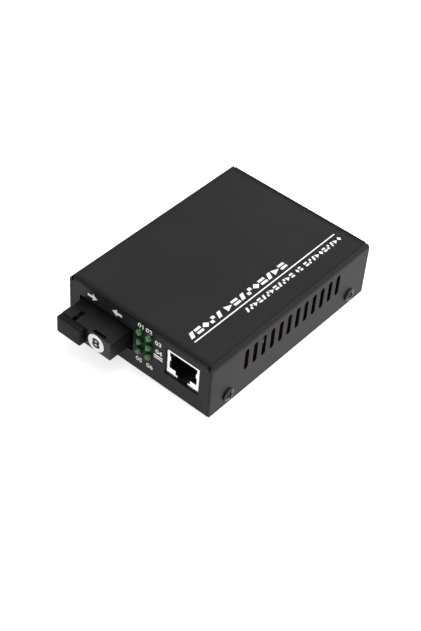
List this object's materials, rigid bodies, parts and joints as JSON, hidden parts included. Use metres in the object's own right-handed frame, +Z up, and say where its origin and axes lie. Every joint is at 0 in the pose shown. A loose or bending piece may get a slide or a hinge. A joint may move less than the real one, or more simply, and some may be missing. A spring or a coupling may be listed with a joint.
{
  "type": "fibre media converter",
  "caption": "Small black steel box that joins a copper network line to a single optical fibre, with front ports, status lamps, side vents and a pull-out dust plug.",
  "frame": {"origin": "middle of the folded tray's underside, on the surface that the case rests on", "axes": "+X to the right when facing the ports, +Y from the ports to the rear panel, +Z up"},
  "size_m": [0.0738, 0.1075, 0.026],
  "materials": {
    "black_coat": "fine-textured satin black powder coat on steel",
    "black_screw": "black zinc plate, semi-gloss",
    "zinc_plate": "bright zinc plate",
    "red_board": "red solder mask over glass fibre",
    "green_board": "green solder mask over glass fibre",
    "bright_shell": "bright tin-plated steel sheet",
    "tin_plate": "tin plate",
    "gold_plate": "gold flash plate",
    "black_moulding": "black moulded plastic",
    "module_plastic": "satin black moulded plastic",
    "plug_rubber": "matt black soft plastic",
    "green_lens": "green-tinted clear epoxy",
    "ceramic": "white ceramic",
    "label_paper": "white printed sticker",
    "chip_black": "black package moulding",
    "can_aluminium": "drawn aluminium can"
  },
  "bodies": {
    "case": {"top_cover": "black_coat", "base_tray": "black_coat", "cover_screws": "black_screw", "board_screws": "zinc_plate", "board_standoffs": "zinc_plate", "circuit_board": "red_board", "rj45_shell": "bright_shell", "rj45_body": "black_moulding", "rj45_contacts": "gold_plate", "transceiver_housing": "module_plastic", "sleeve_holder": "zinc_plate", "ceramic_sleeve": "ceramic", "optical_barrel": "gold_plate", "laser_can": "gold_plate", "receiver_can": "gold_plate", "transceiver_board": "green_board", "transceiver_pins": "gold_plate", "module_label": "label_paper", "led_1": "green_lens", "led_2": "green_lens", "led_3": "green_lens", "led_4": "green_lens", "led_5": "green_lens", "led_6": "green_lens", "led_holder_left": "black_moulding", "led_holder_right": "black_moulding", "led_leads": "tin_plate", "dc_jack_housing": "black_moulding", "dc_jack_pin": "tin_plate", "dc_jack_spring": "tin_plate", "controller_chip": "chip_black", "controller_leads": "tin_plate", "line_transformer": "chip_black", "transformer_leads": "tin_plate", "input_capacitor": "can_aluminium", "output_capacitor": "can_aluminium", "clock_crystal": "can_aluminium", "voltage_regulator": "chip_black", "power_inductor": "chip_black", "protection_diode": "chip_black", "led_resistors": "chip_black", "bypass_capacitors": "ceramic"},
    "plug": {"dust_plug": "plug_rubber"}
  },
  "joints": [
    {"name": "plug_pull", "type": "slide", "parent": "case", "child": "plug", "axis": [0, -1, 0], "range_m": [0, 0.02]}
  ]
}
